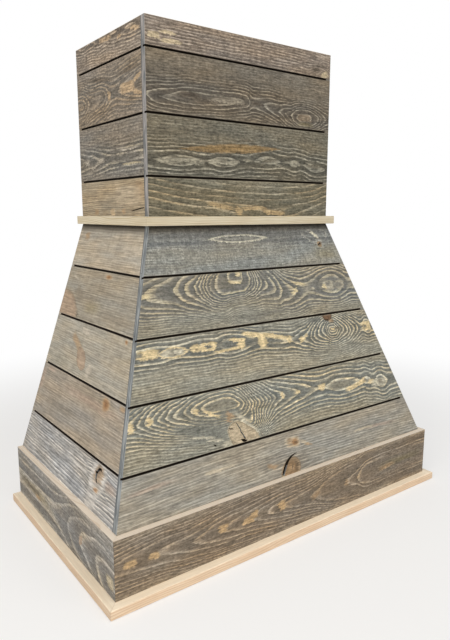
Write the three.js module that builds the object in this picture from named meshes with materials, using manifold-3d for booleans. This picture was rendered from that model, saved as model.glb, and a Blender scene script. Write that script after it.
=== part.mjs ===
// Wooden cover for a kitchen range hood, as it hangs on a wall above a hob.
// A chimney box and a flared body are clad in shiplap boards laid level, on a frame of square pine.
// A plain band hides the joint between them. The body stands on a base box, which is a deck on
// rails behind an apron, and a ledge projects round its foot.
// The back stays open to the wall, the bottom to the extractor insert and the top to the duct.
// Millimetres, +Z up, the front faces -Y, and the origin lies under the middle of the footprint.

import * as THREE from "three";
import { mergeVertices } from "three/addons/utils/BufferGeometryUtils.js";
import Module from "manifold-3d";

const wasm = await Module();
wasm.setup();

// Clearance that glued or nailed pieces keep to each other.
const SEAT_GAP = 0.3;

// Apron: the upright boards round the foot.
const APRON_WIDTH = 914.4;
const APRON_DEPTH = 533.4;
const APRON_HEIGHT = 120;
const APRON_THICKNESS = 12.7;

// Ledge: the plain strip under the apron and the base rails.
const LEDGE_THICKNESS = 19.05;
const LEDGE_WIDTH = 63.5;
const LEDGE_PROJECTION = 19.05;
const LEDGE_EASE = 2.5;

// Chimney box and flared body.
const CHIMNEY_WIDTH = 519;
const CHIMNEY_DEPTH = 335.7;
const CHIMNEY_HEIGHT = 407.9;
const BODY_HEIGHT = 544.5;

// Band round the foot of the chimney.
const BAND_HEIGHT = 19.05;
const BAND_PROJECTION = 14.8;
const BAND_EASE = 1.2;

// Shiplap boards. A wall has full boards between a board cut to fit its foot and one cut to fit
// its head, and the heights of those two are measured upright, to the middle of the groove.
const BOARD_THICKNESS = 16;
const GROOVE_WIDTH = 3.8;
const LAP_LENGTH = 9.5;
const BOARD_EASE = 0.8;
const BODY_FULL_BOARDS = 3;
const BODY_FOOT_BOARD = 88.8;
const BODY_HEAD_BOARD = 102;
const CHIMNEY_FULL_BOARDS = 2;
const CHIMNEY_FOOT_BOARD = 100.8;
const CHIMNEY_HEAD_BOARD = 58.1;

// Frame timber, and the two sheets of plywood that it stands on.
const POST_SIDE = 38;
const RAIL_THICKNESS = 19;
const TOP_RAIL_HEIGHT = 63.5;
const WALL_CLEAT_HEIGHT = 89;
const DECK_THICKNESS = 19;
const DECK_BORDER = 76;
const NECK_THICKNESS = 19;
const NECK_BORDER = 45;

// Heights of the main levels above the floor of the ledge.
const apronFoot = LEDGE_THICKNESS + SEAT_GAP;
const bodyFoot = LEDGE_THICKNESS + APRON_HEIGHT;
const bodyTop = bodyFoot + BODY_HEIGHT;
const chimneyTop = bodyTop + CHIMNEY_HEIGHT;

// The body's outer faces, inside the apron at the foot and under the chimney at the top.
const bodyFootHalf = APRON_WIDTH / 2 - APRON_THICKNESS;
const bodyFootDepth = APRON_DEPTH - APRON_THICKNESS;
const chimneyHalf = CHIMNEY_WIDTH / 2;
const sideSlope = Math.atan((bodyFootHalf - chimneyHalf) / BODY_HEIGHT);
const frontSlope = Math.atan((bodyFootDepth - CHIMNEY_DEPTH) / BODY_HEIGHT);
const overallDepth = APRON_DEPTH + LEDGE_PROJECTION;

const stainedPine = new THREE.MeshStandardMaterial({ color: "#8d8673", roughness: 0.78, metalness: 0 });
const plainPine = new THREE.MeshStandardMaterial({ color: "#dcc39c", roughness: 0.62, metalness: 0 });
const framePine = new THREE.MeshStandardMaterial({ color: "#c9ab7c", roughness: 0.72, metalness: 0 });
const plywood = new THREE.MeshStandardMaterial({ color: "#d3b98d", roughness: 0.66, metalness: 0 });

// The back of the group lies on the wall, and moving it puts the origin under the footprint.
const hood = new THREE.Group();
hood.position.y = overallDepth / 2;

function addPiece(name, geometry, material) {
  const mesh = new THREE.Mesh(geometry, material);
  mesh.name = name;
  hood.add(mesh);
}

// A closed geometry as a solid that can be cut.
function solidOf(geometry) {
  const bare = geometry.index ? geometry.toNonIndexed() : geometry.clone();
  bare.deleteAttribute("normal");
  bare.deleteAttribute("uv");
  const merged = mergeVertices(bare);
  return new wasm.Manifold(
    new wasm.Mesh({
      numProp: 3,
      vertProperties: merged.getAttribute("position").array,
      triVerts: new Uint32Array(merged.index.array),
    }),
  );
}

function geometryOf(solid) {
  const mesh = solid.getMesh();
  const indexed = new THREE.BufferGeometry();
  indexed.setAttribute("position", new THREE.BufferAttribute(mesh.vertProperties, 3));
  indexed.setIndex(new THREE.BufferAttribute(mesh.triVerts, 1));
  const faceted = indexed.toNonIndexed();
  faceted.computeVertexNormals();
  return faceted;
}

function intersectionOf(first, second) {
  return geometryOf(solidOf(first).intersect(solidOf(second)));
}

// A block between two level rectangles, each { x: [low, high], y: [low, high], z }.
function taperedBlock(lower, upper) {
  const block = new THREE.BoxGeometry(1, 1, 1);
  const position = block.getAttribute("position");
  for (let i = 0; i < position.count; i++) {
    const level = position.getZ(i) < 0 ? lower : upper;
    const x = level.x[position.getX(i) < 0 ? 0 : 1];
    const y = level.y[position.getY(i) < 0 ? 0 : 1];
    position.setXYZ(i, x, y, level.z);
  }
  block.computeVertexNormals();
  return block;
}

function squareBlock(x, y, z) {
  return taperedBlock({ x, y, z: z[0] }, { x, y, z: z[1] });
}

function shapeOf(corners) {
  return new THREE.Shape(corners.map(([x, y]) => new THREE.Vector2(x, y)));
}

// A section drawn as (outward, upward) points, run along the third axis from a starting point.
function runAlong(section, length, start, outward, upward) {
  const along = new THREE.Vector3().crossVectors(outward, upward);
  const run = new THREE.ExtrudeGeometry(section, { depth: length, bevelEnabled: false });
  run.applyMatrix4(new THREE.Matrix4().makeBasis(outward, upward, along).setPosition(start));
  return run;
}

// Mirrors a span on the left of the centre line to the right of it when side is 1.
function spanOn(side, near, far) {
  return side < 0 ? [-far, -near] : [near, far];
}

const sides = [
  { side: -1, word: "left" },
  { side: 1, word: "right" },
];

// ---------------------------------------------------------------- outer faces of the body

function bodyHalfAt(z) {
  return chimneyHalf + (bodyTop - z) * Math.tan(sideSlope);
}

function bodyDepthAt(z) {
  return CHIMNEY_DEPTH + (bodyTop - z) * Math.tan(frontSlope);
}

// The same faces behind the boards, a seat gap further in.
function frameHalfAt(z) {
  return bodyHalfAt(z) - BOARD_THICKNESS / Math.cos(sideSlope) - SEAT_GAP;
}

function frameDepthAt(z) {
  return bodyDepthAt(z) - BOARD_THICKNESS / Math.cos(frontSlope) - SEAT_GAP;
}

// ---------------------------------------------------------------- shiplap boards

// Heights of the grooves of a wall, from the top of the board at its foot up.
function groovesBetween(foot, top, footBoard, headBoard, fullBoards) {
  const rise = (top - foot - footBoard - headBoard) / fullBoards;
  return Array.from({ length: fullBoards + 1 }, (_, groove) => foot + footBoard + groove * rise);
}

// One board's section between two edges of the face. At a groove it is lapped: the lower board's
// tongue stands behind the groove, and the upper board's lip hangs in front of the tongue.
function boardSection(low, high, lappedBelow, lappedAbove) {
  const lipBack = (BOARD_THICKNESS + SEAT_GAP) / 2;
  const tongueFace = (BOARD_THICKNESS - SEAT_GAP) / 2;
  const faceLow = lappedBelow ? low + GROOVE_WIDTH / 2 : low;
  const faceHigh = lappedAbove ? high - GROOVE_WIDTH / 2 : high;
  const corners = [];
  if (lappedBelow) {
    const lapEnd = faceLow + LAP_LENGTH;
    corners.push([0, lapEnd], [lipBack, lapEnd], [lipBack, faceLow]);
    corners.push([BOARD_THICKNESS - BOARD_EASE, faceLow], [BOARD_THICKNESS, faceLow + BOARD_EASE]);
  } else {
    corners.push([0, faceLow], [BOARD_THICKNESS, faceLow]);
  }
  if (lappedAbove) {
    const tongueEnd = high + GROOVE_WIDTH / 2 + LAP_LENGTH - SEAT_GAP;
    corners.push([BOARD_THICKNESS, faceHigh - BOARD_EASE], [BOARD_THICKNESS - BOARD_EASE, faceHigh]);
    corners.push([tongueFace, faceHigh], [tongueFace, tongueEnd], [0, tongueEnd]);
  } else {
    corners.push([BOARD_THICKNESS, faceHigh], [0, faceHigh]);
  }
  return shapeOf(corners);
}

// The boards of one wall, from the foot up, each handed to the wall's own way of making a board.
function cladWall(name, grooves, foot, top, makeBoard) {
  const edges = [foot, ...grooves, top];
  for (let row = 0; row + 1 < edges.length; row++) {
    const lappedBelow = row > 0;
    const lappedAbove = row + 2 < edges.length;
    const board = makeBoard(edges[row], edges[row + 1], lappedBelow, lappedAbove);
    addPiece(`${name}_board_${row + 1}`, board, stainedPine);
  }
}

// Front boards run over the ends of the side boards, so their end grain shows at the corners.
function cladChimney() {
  const foot = bodyTop + SEAT_GAP;
  const cutBoards = [CHIMNEY_FOOT_BOARD, CHIMNEY_HEAD_BOARD];
  const grooves = groovesBetween(bodyTop, chimneyTop, ...cutBoards, CHIMNEY_FULL_BOARDS);
  const upward = new THREE.Vector3(0, 0, 1);
  const sideDepth = CHIMNEY_DEPTH - BOARD_THICKNESS - SEAT_GAP;

  cladWall("chimney_front", grooves, foot, chimneyTop, (low, high, below, above) => {
    const start = new THREE.Vector3(chimneyHalf, BOARD_THICKNESS - CHIMNEY_DEPTH, 0);
    const outward = new THREE.Vector3(0, -1, 0);
    return runAlong(boardSection(low, high, below, above), CHIMNEY_WIDTH, start, outward, upward);
  });

  for (const { side, word } of sides) {
    cladWall(`chimney_${word}`, grooves, foot, chimneyTop, (low, high, below, above) => {
      const startY = side < 0 ? -sideDepth : 0;
      const start = new THREE.Vector3(side * (chimneyHalf - BOARD_THICKNESS), startY, 0);
      const outward = new THREE.Vector3(side, 0, 0);
      return runAlong(boardSection(low, high, below, above), sideDepth, start, outward, upward);
    });
  }
}

// A body board is made over-long square to its slope, and trimmed to the walls beside it.
// The grooves of all three walls lie at the same heights, so that they meet at the corners.
function cladBody() {
  const cutBoards = [BODY_FOOT_BOARD, BODY_HEAD_BOARD];
  const grooves = groovesBetween(bodyFoot, bodyTop, ...cutBoards, BODY_FULL_BOARDS);
  const foot = bodyFoot + SEAT_GAP;
  const overlength = 2 * BOARD_THICKNESS;

  // Places a section on a sloping face: heights become distances up the slope from the foot.
  function slopingBoard(slope, low, high, below, above, length, foremost, outward, upward) {
    const climb = 1 / Math.cos(slope);
    const lowEdge = (low - bodyFoot) * climb - (below ? 0 : overlength);
    const highEdge = (high - bodyFoot) * climb + (above ? 0 : overlength);
    const start = foremost.clone().addScaledVector(outward, -BOARD_THICKNESS);
    const section = boardSection(lowEdge, highEdge, below, above);
    return runAlong(section, length, start, outward, upward);
  }

  const level = (z, x, y) => ({ x, y, z });
  const frontTrim = taperedBlock(
    level(foot, [-bodyHalfAt(foot), bodyHalfAt(foot)], [-bodyFootDepth - overlength, 0]),
    level(bodyTop, [-chimneyHalf, chimneyHalf], [-bodyFootDepth - overlength, 0]),
  );
  cladWall("body_front", grooves, foot, bodyTop, (low, high, below, above) => {
    const outward = new THREE.Vector3(0, -Math.cos(frontSlope), Math.sin(frontSlope));
    const upward = new THREE.Vector3(0, Math.sin(frontSlope), Math.cos(frontSlope));
    const foremost = new THREE.Vector3(bodyFootHalf + overlength, -bodyFootDepth, bodyFoot);
    const length = 2 * (bodyFootHalf + overlength);
    const board = slopingBoard(frontSlope, low, high, below, above, length, foremost, outward, upward);
    return intersectionOf(board, frontTrim);
  });

  for (const { side, word } of sides) {
    const reach = spanOn(side, 0, bodyFootHalf + overlength);
    const sideTrim = taperedBlock(
      level(foot, reach, [-frameDepthAt(foot), 0]),
      level(bodyTop, reach, [-frameDepthAt(bodyTop), 0]),
    );
    cladWall(`body_${word}`, grooves, foot, bodyTop, (low, high, below, above) => {
      const outward = new THREE.Vector3(side * Math.cos(sideSlope), 0, Math.sin(sideSlope));
      const upward = new THREE.Vector3(-side * Math.sin(sideSlope), 0, Math.cos(sideSlope));
      const length = bodyFootDepth + 2 * overlength;
      const startY = side < 0 ? overlength - length : overlength;
      const foremost = new THREE.Vector3(side * bodyFootHalf, startY, bodyFoot);
      const board = slopingBoard(sideSlope, low, high, below, above, length, foremost, outward, upward);
      return intersectionOf(board, sideTrim);
    });
  }
}

// ---------------------------------------------------------------- mitred trims

// A strip's section with its two outer edges eased, drawn outward from its inner face.
function easedSection(width, foot, top, ease) {
  const section = new THREE.Shape();
  section.moveTo(0, foot);
  section.lineTo(width - ease, foot);
  section.absarc(width - ease, foot + ease, ease, -Math.PI / 2, 0, false);
  section.lineTo(width, top - ease);
  section.absarc(width - ease, top - ease, ease, 0, Math.PI / 2, false);
  section.lineTo(0, top);
  section.closePath();
  return section;
}

function planPrism(corners, foot, top) {
  const prism = new THREE.ExtrudeGeometry(shapeOf(corners), { depth: top - foot, bevelEnabled: false });
  prism.translate(0, 0, foot);
  return prism;
}

// Three strips round the front and sides, mitred at the front corners. The inner faces lie at
// innerHalf and innerDepth. An eased strip is its rounded run trimmed to the mitred plan.
function trimRound(name, innerHalf, innerDepth, width, foot, top, ease, material) {
  const outerHalf = innerHalf + width;
  const outerDepth = innerDepth + width;
  const mitreGap = SEAT_GAP * Math.SQRT2;
  const upward = new THREE.Vector3(0, 0, 1);

  function strip(piece, plan, length, start, outward) {
    const mitred = planPrism(plan, foot, top);
    if (!ease) return addPiece(piece, mitred, material);
    const run = runAlong(easedSection(width, foot, top, ease), length, start, outward, upward);
    return addPiece(piece, intersectionOf(run, mitred), material);
  }

  const frontPlan = [
    [-outerHalf, -outerDepth],
    [outerHalf, -outerDepth],
    [innerHalf, -innerDepth],
    [-innerHalf, -innerDepth],
  ];
  const frontStart = new THREE.Vector3(outerHalf, -innerDepth, 0);
  strip(`${name}_front`, frontPlan, 2 * outerHalf, frontStart, new THREE.Vector3(0, -1, 0));

  for (const { side, word } of sides) {
    const plan = [
      [side * outerHalf, mitreGap - outerDepth],
      [side * outerHalf, 0],
      [side * innerHalf, 0],
      [side * innerHalf, mitreGap - innerDepth],
    ];
    const start = new THREE.Vector3(side * innerHalf, side < 0 ? -outerDepth : 0, 0);
    const turned = side < 0 ? plan.reverse() : plan;
    strip(`${name}_${word}`, turned, outerDepth, start, new THREE.Vector3(side, 0, 0));
  }
}

function addTrims() {
  const ledgeHalf = APRON_WIDTH / 2 + LEDGE_PROJECTION - LEDGE_WIDTH;
  const ledgeDepth = overallDepth - LEDGE_WIDTH;
  trimRound("ledge", ledgeHalf, ledgeDepth, LEDGE_WIDTH, 0, LEDGE_THICKNESS, LEDGE_EASE, plainPine);
  trimRound("apron", bodyFootHalf, bodyFootDepth, APRON_THICKNESS, apronFoot, bodyFoot, 0, stainedPine);

  const bandHalf = chimneyHalf + SEAT_GAP;
  const bandDepth = CHIMNEY_DEPTH + SEAT_GAP;
  const bandWidth = BAND_PROJECTION - SEAT_GAP;
  const bandTop = bodyTop + BAND_HEIGHT;
  trimRound("band", bandHalf, bandDepth, bandWidth, bodyTop, bandTop, BAND_EASE, plainPine);
}

// ---------------------------------------------------------------- frame

// A sheet against the wall with one opening in it, a border in from its edges.
function addSheet(name, half, depth, border, foot, top) {
  const outline = shapeOf([
    [-half, -depth],
    [half, -depth],
    [half, 0],
    [-half, 0],
  ]);
  outline.holes.push(
    shapeOf([
      [border - half, border - depth],
      [border - half, -border],
      [half - border, -border],
      [half - border, border - depth],
    ]),
  );
  const sheet = new THREE.ExtrudeGeometry(outline, { depth: top - foot, bevelEnabled: false });
  sheet.translate(0, 0, foot);
  addPiece(name, sheet, plywood);
}

// The base box: four rails under a deck. The front rail runs through, the side rails butt on it,
// and the wall rail fits between the side rails. The extractor hangs inside, screwed to the deck.
function addBaseBox() {
  const half = bodyFootHalf - SEAT_GAP;
  const depth = bodyFootDepth - SEAT_GAP;
  const deckFoot = bodyFoot - DECK_THICKNESS;
  const railSpan = [apronFoot, deckFoot - SEAT_GAP];

  const frontRail = squareBlock([-half, half], [-depth, RAIL_THICKNESS - depth], railSpan);
  addPiece("base_rail_front", frontRail, framePine);
  for (const { side, word } of sides) {
    const across = spanOn(side, half - RAIL_THICKNESS, half);
    const along = [RAIL_THICKNESS + SEAT_GAP - depth, 0];
    addPiece(`base_rail_${word}`, squareBlock(across, along, railSpan), framePine);
  }
  const wallHalf = half - RAIL_THICKNESS - SEAT_GAP;
  const wallRail = squareBlock([-wallHalf, wallHalf], [-RAIL_THICKNESS, 0], railSpan);
  addPiece("base_rail_wall", wallRail, framePine);

  addSheet("base_deck", half, depth, DECK_BORDER, deckFoot, bodyFoot);
}

// Posts stand on the deck, follow the inner faces of the boards and carry the neck plate, which
// the chimney's posts stand on and the duct passes through.
function addBodyFrame() {
  const foot = bodyFoot + SEAT_GAP;
  const neckFoot = bodyTop - NECK_THICKNESS;
  const head = neckFoot - SEAT_GAP;
  const level = (z, x, y) => ({ x, y, z });
  const frontSpan = (z) => [-frameDepthAt(z), POST_SIDE - frameDepthAt(z)];

  for (const { side, word } of sides) {
    const sideSpan = (z) => spanOn(side, frameHalfAt(z) - POST_SIDE, frameHalfAt(z));
    const front = taperedBlock(
      level(foot, sideSpan(foot), frontSpan(foot)),
      level(head, sideSpan(head), frontSpan(head)),
    );
    addPiece(`body_post_front_${word}`, front, framePine);
    const back = taperedBlock(
      level(foot, sideSpan(foot), [-POST_SIDE, 0]),
      level(head, sideSpan(head), [-POST_SIDE, 0]),
    );
    addPiece(`body_post_back_${word}`, back, framePine);
  }

  const studSpan = [-POST_SIDE / 2, POST_SIDE / 2];
  const stud = taperedBlock(
    level(foot, studSpan, frontSpan(foot)),
    level(head, studSpan, frontSpan(head)),
  );
  addPiece("body_stud_front", stud, framePine);

  addSheet("neck_plate", frameHalfAt(bodyTop), frameDepthAt(bodyTop), NECK_BORDER, neckFoot, bodyTop);
}

function addChimneyFrame() {
  const half = chimneyHalf - BOARD_THICKNESS - SEAT_GAP;
  const depth = CHIMNEY_DEPTH - BOARD_THICKNESS - SEAT_GAP;
  const postSpan = [bodyTop + SEAT_GAP, chimneyTop];
  for (const { side, word } of sides) {
    const across = spanOn(side, half - POST_SIDE, half);
    const front = squareBlock(across, [-depth, POST_SIDE - depth], postSpan);
    addPiece(`chimney_post_front_${word}`, front, framePine);
    addPiece(`chimney_post_back_${word}`, squareBlock(across, [-POST_SIDE, 0], postSpan), framePine);
  }

  // Rails close the top between the posts. The one on the wall is a deep cleat that hangs the hood.
  const railHalf = half - POST_SIDE - SEAT_GAP;
  const railSpan = [chimneyTop - TOP_RAIL_HEIGHT, chimneyTop];
  const frontRail = squareBlock([-railHalf, railHalf], [-depth, RAIL_THICKNESS - depth], railSpan);
  addPiece("top_rail_front", frontRail, framePine);
  const betweenPosts = [POST_SIDE + SEAT_GAP - depth, -POST_SIDE - SEAT_GAP];
  for (const { side, word } of sides) {
    const across = spanOn(side, half - RAIL_THICKNESS, half);
    addPiece(`top_rail_${word}`, squareBlock(across, betweenPosts, railSpan), framePine);
  }
  const cleatSpan = [chimneyTop - WALL_CLEAT_HEIGHT, chimneyTop];
  const cleat = squareBlock([-railHalf, railHalf], [-RAIL_THICKNESS, 0], cleatSpan);
  addPiece("wall_cleat", cleat, framePine);
}

cladChimney();
cladBody();
addTrims();
addBaseBox();
addBodyFrame();
addChimneyFrame();

export default hood;
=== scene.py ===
import math
from functools import partial

import bpy
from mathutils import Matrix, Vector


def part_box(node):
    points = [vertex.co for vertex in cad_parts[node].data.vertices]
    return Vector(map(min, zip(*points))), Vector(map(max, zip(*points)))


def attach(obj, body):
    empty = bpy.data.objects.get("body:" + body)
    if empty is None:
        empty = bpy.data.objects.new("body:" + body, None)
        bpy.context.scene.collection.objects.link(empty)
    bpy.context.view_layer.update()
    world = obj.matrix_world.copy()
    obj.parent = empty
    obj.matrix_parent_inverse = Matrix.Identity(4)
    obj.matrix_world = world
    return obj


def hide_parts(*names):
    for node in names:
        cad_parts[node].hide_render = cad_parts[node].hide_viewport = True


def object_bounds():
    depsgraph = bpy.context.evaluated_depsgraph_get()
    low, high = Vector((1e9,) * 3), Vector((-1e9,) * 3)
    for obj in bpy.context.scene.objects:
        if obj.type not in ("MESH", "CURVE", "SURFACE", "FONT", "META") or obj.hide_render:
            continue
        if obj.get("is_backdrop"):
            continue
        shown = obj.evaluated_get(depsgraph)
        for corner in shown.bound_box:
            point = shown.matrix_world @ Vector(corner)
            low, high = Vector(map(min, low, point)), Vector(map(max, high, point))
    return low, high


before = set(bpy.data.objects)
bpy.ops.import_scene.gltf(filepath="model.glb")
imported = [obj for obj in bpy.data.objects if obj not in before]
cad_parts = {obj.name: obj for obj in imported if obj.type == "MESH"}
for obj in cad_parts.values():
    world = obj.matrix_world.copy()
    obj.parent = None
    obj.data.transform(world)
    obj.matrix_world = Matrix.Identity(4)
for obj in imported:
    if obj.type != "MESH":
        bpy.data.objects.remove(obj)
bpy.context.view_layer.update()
bpy.ops.object.select_all(action="DESELECT")

# ---- camera, as the photograph was taken

bpy.ops.object.camera_add(
    location=(-0.86193, -1.13246, 0.70918), rotation=(math.radians(90 - 10.349), 0, math.radians(-36.627))
)
camera = bpy.context.object
camera.name = "camera"
camera.data.lens = 32.854
camera.data.sensor_width = 36
camera.data.clip_end = 60
bpy.context.scene.camera = camera
bpy.context.scene.view_settings.view_transform = "Standard"


# ---- helpers


def linear(code, alpha=1.0):
    """An sRGB hex colour as the linear colour that Blender's sockets take."""
    channels = [int(code[i : i + 2], 16) / 255 for i in (1, 3, 5)]
    return [c / 12.92 if c <= 0.04045 else ((c + 0.055) / 1.055) ** 2.4 for c in channels] + [alpha]


USUAL = {"Mix": {"data_type": "RGBA"}, "Mapping": {"vector_type": "TEXTURE"}}  # settings unless others are given


def add_node(tree, kind, *values, sockets=None, stops=(), points=(), **settings):
    """Adds a node to a tree: its kind, with an operation after a dot, its settings, the stops of its ramp or the points
    of its curve, and its inputs, as values in the order of its live sockets or as sockets by name. A node given as an
    input stands for its first live output."""
    kind, _, operation = kind.partition(".")
    made = tree.nodes.new("ShaderNode" + kind)
    if operation:
        made.operation = operation
    for name, value in {**USUAL.get(kind, {}), **settings}.items():
        setattr(made, name, value)
    for i, (place, colour) in enumerate(stops):
        stop = made.color_ramp.elements[i] if i < 2 else made.color_ramp.elements.new(place)
        stop.position = place
        stop.color = colour if isinstance(colour, list) else [colour] * 3 + [1]
    for i, (x, y) in enumerate(points):
        knob = made.mapping.curves[0].points[i] if i < 2 else made.mapping.curves[0].points.new(x, y)
        knob.location = (x, y)
        knob.handle_type = "AUTO_CLAMPED"
    if points:
        made.mapping.update()
    live = [socket for socket in made.inputs if socket.enabled]
    pairs = list(zip(live, values)) + [(made.inputs[name], value) for name, value in (sockets or {}).items()]
    for socket, value in pairs:
        if isinstance(value, bpy.types.Node):
            value = next(out for out in value.outputs if out.enabled)
        if isinstance(value, bpy.types.NodeSocket):
            tree.links.new(value, socket)
        elif value is not None:
            socket.default_value = value
    return made


def new_material(name):
    """An empty node material, and the function that adds nodes to it."""
    material = bpy.data.materials.new(name)
    material.use_nodes = True
    material.node_tree.nodes.clear()
    return material, partial(add_node, material.node_tree)


# ---- floor, backdrop and lamps

floor_material, add = new_material("studio_floor_matt_white")
fade = add("VectorMath.LENGTH", add("TexCoord").outputs["Object"]).outputs["Value"]
fade = add("MapRange", fade, 0.75, 1.9, 0.45, 1.0, interpolation_type="SMOOTHSTEP")  # m from the cover's middle
camera_ray = add("LightPath").outputs["Is Camera Ray"]
matt = add("BsdfDiffuse", linear("#efeeec"))
white = add("Emission", linear("#ffffff"), 1.0)
add("OutputMaterial", add("MixShader", add("Math.MULTIPLY", fade, camera_ray), matt, white))
bpy.ops.mesh.primitive_plane_add(size=16, location=(0, 0, -0.0005))
floor = bpy.context.object
floor.name = "studio_floor"
floor.data.materials.append(floor_material)
floor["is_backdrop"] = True

world = bpy.data.worlds.new("studio_world")
world.use_nodes = True
world.node_tree.nodes.clear()
add = partial(add_node, world.node_tree)
paths = add("LightPath")
seen = add("Math.MAXIMUM", paths.outputs["Is Camera Ray"], paths.outputs["Is Glossy Ray"])
seen = add("Math.MAXIMUM", seen, paths.outputs["Is Transmission Ray"])
soft = add("Background", linear("#f4f5f7"), 0.54)
plain = add("Background", linear("#ffffff"), 1.0)
add("OutputWorld", add("MixShader", seen, soft, plain))
bpy.context.scene.world = world


def lamp(name, place, target, size, watts, colour):
    """A square softbox at a place, turned to face its target."""
    bpy.ops.object.light_add(type="AREA", location=place)
    light = bpy.context.object
    light.name = name
    light.data.size = size
    light.data.energy = watts
    light.data.color = linear(colour)[:3]
    away = light.location - type(light.location)(target)
    light.rotation_euler = away.to_track_quat("Z", "Y").to_euler()


lamp("key_softbox", (-3.3, -1.9, 2.5), (0, 0, 0.5), 2.4, 72, "#fff8ee")
lamp("front_softbox", (1.2, -3.2, 2.6), (0, 0, 0.5), 2.4, 26, "#ffffff")
lamp("top_softbox", (-0.7, -0.9, 3.6), (-0.1, -0.1, 0.3), 2.0, 27, "#fffaf2")

# ---- stained pine

SLOPE = 18.77  # degrees that the body's front and sides lean in
BACK = 0.276225  # the kitchen wall's plane, m
BODY_FOOT, BODY_SIDE, CHIMNEY_SIDE = 0.13905, 0.4445, 0.2595  # foot of the body, and half widths at the foot, m
FACES = {}  # place in m and turn in degrees of each wall's face: along its boards, up the wall and out of it
for part, foot, side, front, lean in (
    ("chimney", 0.68355, CHIMNEY_SIDE, -0.059475, 0),
    ("body", BODY_FOOT, BODY_SIDE, -0.244475, SLOPE),
    ("apron", 0.01905, 0.4572, -0.257175, 0),
):
    FACES[part + "_front"] = (0, front, foot), (90 - lean, 0, 0)
    FACES[part + "_left"] = (-side, 0, foot), (90 - lean, 0, -90)
    FACES[part + "_right"] = (side, 0, foot), (90 - lean, 0, 90)
GROOVES = {  # heights on the wall's face of its foot, grooves and head, mm
    "chimney": (0, 100.8, 225.3, 349.8, 407.9),
    "body": (0, 93.8, 218.3, 342.8, 467.4, 575.1),
    "apron": (0, 119.7),
}
HALF_GROOVE = 1.9  # mm from the middle of a groove to its arrises
NO_GROOVE = (-99, 999)  # heights in mm that stand for edges without a groove
THICKNESS = 15.4  # of the boards in mm, less a little, so that what lies deeper is their bare back
DEEPEST = 100.0  # mm that a heart line may lie behind a wall's face
THROUGH = 1e6  # mm, the reach of a mark or swelling into the wood
MM = (0.001,) * 3  # a mapping's scale that turns m into mm

# What a mark leaves in the wood, from its middle (0) to its rim (1): a hex colour or the number of the board's own
# tone, and how far it covers the grain. All are the wood's own colour except the near-black strip under the band, which
# is the band's painted shadow.
MARKS = {
    "honey": [(0, 3, 0.95), (0.75, 3, 0.9), (1, 3, 0)],
    "loop": [(0, 0, 0.5), (0.3, 0, 0.4), (0.42, 3, 0.9), (0.8, 3, 0.95), (1, 3, 0)],
    "cream": [(0, 2, 0.8), (0.7, 2, 0.65), (1, 2, 0)],
    "smoke": [(0, 0, 0.9), (0.6, 0, 0.75), (1, 0, 0)],
    "slate": [(0, 0, 0.6), (0.5, 0, 0.45), (1, 0, 0)],
    "mist": [(0, 1, 0.85), (0.65, 1, 0.7), (1, 1, 0)],
    "tan": [(0, "#a98d6c", 0.85), (0.6, "#a88f70", 0.7), (1, "#a08c70", 0)],
    "amber": [(0, "#8f754c", 0.85), (0.78, "#8a7350", 0.8), (1, "#857256", 0)],
    "pink": [(0, "#b59d89", 0.55), (0.6, "#b39e8e", 0.4), (1, "#ab9c8c", 0)],
    "blush": [(0, "#ab947e", 0.8), (0.85, "#a89079", 0.75), (0.95, "#8a7863", 0.6), (1, "#8d8270", 0)],
    "olive": [(0, "#84784f", 0.45), (0.5, "#877c5c", 0.35), (1, "#8c8468", 0)],
    # painted shadow: a near-black strip standing in for the band's shadow on the body's top boards
    "pool": [(0, "#17120c", 0.95), (0.3, "#2e2820", 0.85), (0.65, "#4c463b", 0.6), (1, "#6a6358", 0)],
    "umber": [(0, "#50463b", 0.7), (0.5, "#5a5044", 0.5), (1, "#6f6352", 0)],
    "outline": [(0.52, 2, 0), (0.7, 3, 0.85), (0.9, 3, 0.85), (1, 2, 0)],
    "brown": [(0, "#8a7963", 0.7), (0.7, "#8a7963", 0.55), (1, "#857662", 0)],
    "rust_knot": [
        (0, "#7d5c42", 0.95), (0.2, "#98744f", 0.9), (0.42, "#ad8c68", 0.75), (0.6, "#b8a387", 0.4), (1, "#b3a693", 0),
    ],
    "brown_knot": [
        (0, "#84694f", 1), (0.25, "#a48a69", 1), (0.5, "#8f7557", 1), (0.8, "#a99172", 0.9), (0.92, "#82705b", 0.8),
        (1, "#99886f", 0),
    ],
    "dark_knot": [
        (0, "#5e4a39", 1), (0.45, "#765d47", 1), (0.75, "#69533f", 1), (0.9, "#4e4032", 0.95), (1, "#6b5d4c", 0),
    ],
    "beige_knot": [
        (0, "#ad9d84", 1), (0.55, "#b8a98f", 1), (0.86, "#ae9f86", 1), (0.91, "#82755f", 0.9), (0.95, "#bdb298", 0.7),
        (1, "#9c937f", 0),
    ],
}
POINTED = ("amber", "outline")  # marks that taper to points along their length


def streaks(add, place, shift, size, detail, rough):
    """A cloudy pattern on a place in mm: shifted, and drawn out to the size of its streaks along, up and out."""
    return add("TexNoise", add("Mapping", place, shift, None, size), 1.0, detail, rough)


def swelling(add, spot, u, v, ru, rv, top):
    """Where a spot is in an ellipse, and a number that falls smoothly from top at its middle to 0 at its rim."""
    near = add("Mapping", spot, (u, v, 0), None, (ru, rv, THROUGH))
    size = add("VectorMath.LENGTH", near).outputs["Value"]
    return near, add("MapRange", size, 0.0, 1.0, top, 0.0, interpolation_type="SMOOTHSTEP")


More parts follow.
